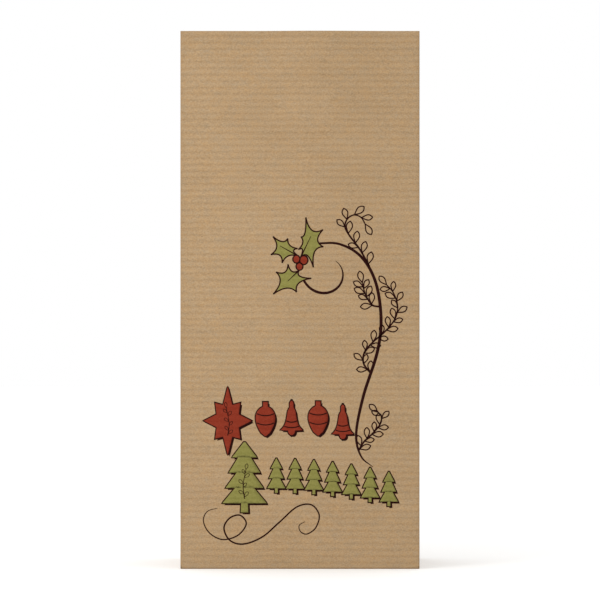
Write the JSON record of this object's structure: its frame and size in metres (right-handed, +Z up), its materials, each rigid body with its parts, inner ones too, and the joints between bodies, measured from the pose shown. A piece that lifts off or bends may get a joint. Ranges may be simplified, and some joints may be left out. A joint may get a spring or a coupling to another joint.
{
  "type": "wine gift bag",
  "caption": "Tall handle-less kraft paper gift bag for one wine bottle, with side gussets, a lapped back seam and a flat base, that folds flat along its creases.",
  "frame": {"origin": "middle of the bag's underside, on the ground", "axes": "+Z up to the mouth, -Y towards the printed front face, +X to the right of someone facing the front"},
  "size_m": [0.1396, 0.0826, 0.3143],
  "materials": {
    "kraft_paper": "brown machine-glazed kraft paper with fine horizontal ribs, printed on the front in dark brown, red and green",
    "kraft_inside": "the same kraft paper, unprinted inner side"
  },
  "bodies": {
    "front": {"front_panel": "kraft_paper"},
    "left_gusset_front_half": {"left_gusset_front": "kraft_paper", "left_corner_fold_front": "kraft_paper"},
    "left_gusset_rear_half": {"left_gusset_rear": "kraft_paper", "left_corner_fold_rear": "kraft_paper"},
    "right_gusset_front_half": {"right_gusset_front": "kraft_paper", "right_corner_fold_front": "kraft_paper"},
    "right_gusset_rear_half": {"right_gusset_rear": "kraft_paper", "right_corner_fold_rear": "kraft_paper"},
    "back": {"back_left_panel": "kraft_paper", "back_right_panel": "kraft_paper"},
    "base_front": {"base_front_flap": "kraft_paper", "left_base_tuck_front": "kraft_inside", "right_base_tuck_front": "kraft_inside"},
    "base_rear": {"base_rear_flap": "kraft_paper", "left_base_tuck_rear": "kraft_inside", "right_base_tuck_rear": "kraft_inside"}
  },
  "joints": [
    {"name": "left_front_crease", "type": "hinge", "parent": "front", "child": "left_gusset_front_half", "pos_m": [-0.06945, -0.0409, 0], "axis": [0, 0, -1], "range_deg": [0, 90], "deforming": ["left_corner_fold_front"]},
    {"name": "left_centre_crease", "type": "hinge", "parent": "left_gusset_front_half", "child": "left_gusset_rear_half", "pos_m": [-0.0711, 0, 0], "axis": [0, 0, 1], "range_deg": [0, 180], "deforming": ["left_corner_fold_rear"]},
    {"name": "left_rear_crease", "type": "hinge", "parent": "left_gusset_rear_half", "child": "back", "pos_m": [-0.06945, 0.0409, 0], "axis": [0, 0, -1], "range_deg": [0, 90]},
    {"name": "right_front_crease", "type": "hinge", "parent": "front", "child": "right_gusset_front_half", "pos_m": [0.06945, -0.0409, 0], "axis": [0, 0, 1], "range_deg": [0, 90], "deforming": ["right_corner_fold_front"]},
    {"name": "right_centre_crease", "type": "hinge", "parent": "right_gusset_front_half", "child": "right_gusset_rear_half", "pos_m": [0.0711, 0, 0], "axis": [0, 0, -1], "range_deg": [0, 180], "deforming": ["right_corner_fold_rear"]},
    {"name": "base_front_crease", "type": "hinge", "parent": "front", "child": "base_front", "pos_m": [0, -0.04035, 0.00095], "axis": [1, 0, 0], "range_deg": [0, 90]},
    {"name": "base_rear_crease", "type": "hinge", "parent": "back", "child": "base_rear", "pos_m": [0, 0.04035, 0.00095], "axis": [-1, 0, 0], "range_deg": [0, 90]}
  ],
  "couplings": [
    {"joint": "left_centre_crease", "follows": "left_front_crease", "ratio": 2},
    {"joint": "left_rear_crease", "follows": "left_front_crease", "ratio": 1},
    {"joint": "right_front_crease", "follows": "left_front_crease", "ratio": 1},
    {"joint": "right_centre_crease", "follows": "left_front_crease", "ratio": 2},
    {"joint": "base_front_crease", "follows": "left_front_crease", "ratio": 1},
    {"joint": "base_rear_crease", "follows": "left_front_crease", "ratio": 1}
  ]
}
